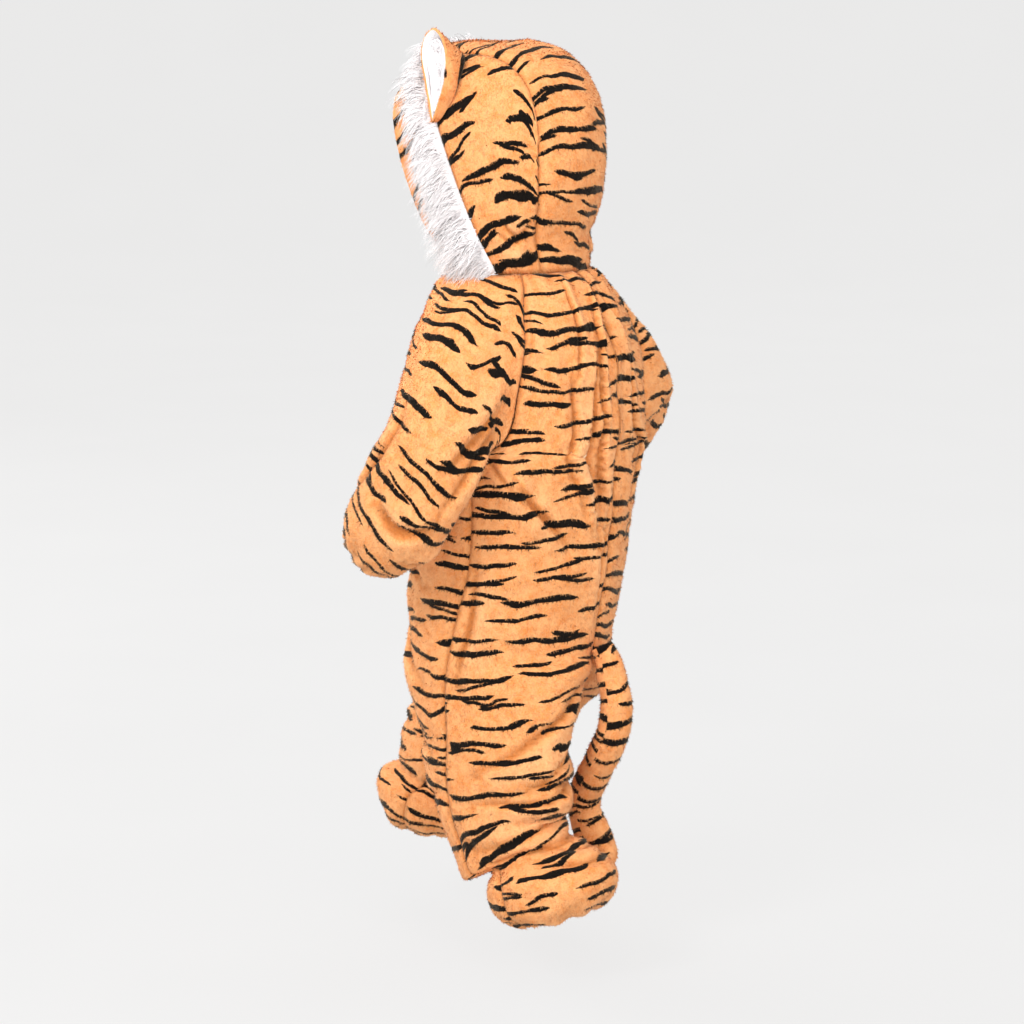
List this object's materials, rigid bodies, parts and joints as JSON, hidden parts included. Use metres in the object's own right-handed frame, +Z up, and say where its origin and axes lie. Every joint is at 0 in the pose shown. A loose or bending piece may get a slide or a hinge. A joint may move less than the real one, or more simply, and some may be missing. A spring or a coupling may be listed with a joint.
{
  "type": "tiger jumpsuit costume",
  "caption": "Worn hooded plush jumpsuit for a toddler with raglan sleeves, gathered cuffs, fur trimmed hood, tiger ears, stuffed tail and front zip.",
  "frame": {"origin": "centre of the neck seam, where the costume rests on the wearer's shoulders", "axes": "+Z up, wearer's front towards -Y, wearer's left towards +X"},
  "size_m": [0.424, 0.356, 0.879],
  "materials": {
    "tiger_plush": "short orange pile with black stripes",
    "white_fur": "long white pile",
    "white_plush": "short white pile",
    "zip_tape": "woven tape",
    "zip_metal": "dark antique metal"
  },
  "bodies": {
    "costume": {"back_left": "tiger_plush", "front_left": "tiger_plush", "back_right": "tiger_plush", "front_right": "tiger_plush", "sleeve_left": "tiger_plush", "sleeve_right": "tiger_plush", "hood_gusset": "tiger_plush", "hood_side_left": "tiger_plush", "hood_side_right": "tiger_plush", "hood_fur_trim": "white_fur", "hood_front_band": "tiger_plush", "ear_left_outer": "tiger_plush", "ear_left_inner": "white_plush", "ear_right_outer": "tiger_plush", "ear_right_inner": "white_plush", "tail": "tiger_plush", "zip_tape_left": "zip_tape", "zip_tape_right": "zip_tape", "zip_chain": "zip_metal", "zip_slider": "zip_metal"},
    "pull_tab": {"zip_pull_tab": "zip_metal"}
  },
  "joints": [
    {"name": "pull_tab_hinge", "type": "hinge", "parent": "costume", "child": "pull_tab", "pos_m": [0, -0.0613, -0.01418], "axis": [-1, 0, 0], "range_deg": [0, 160]}
  ]
}
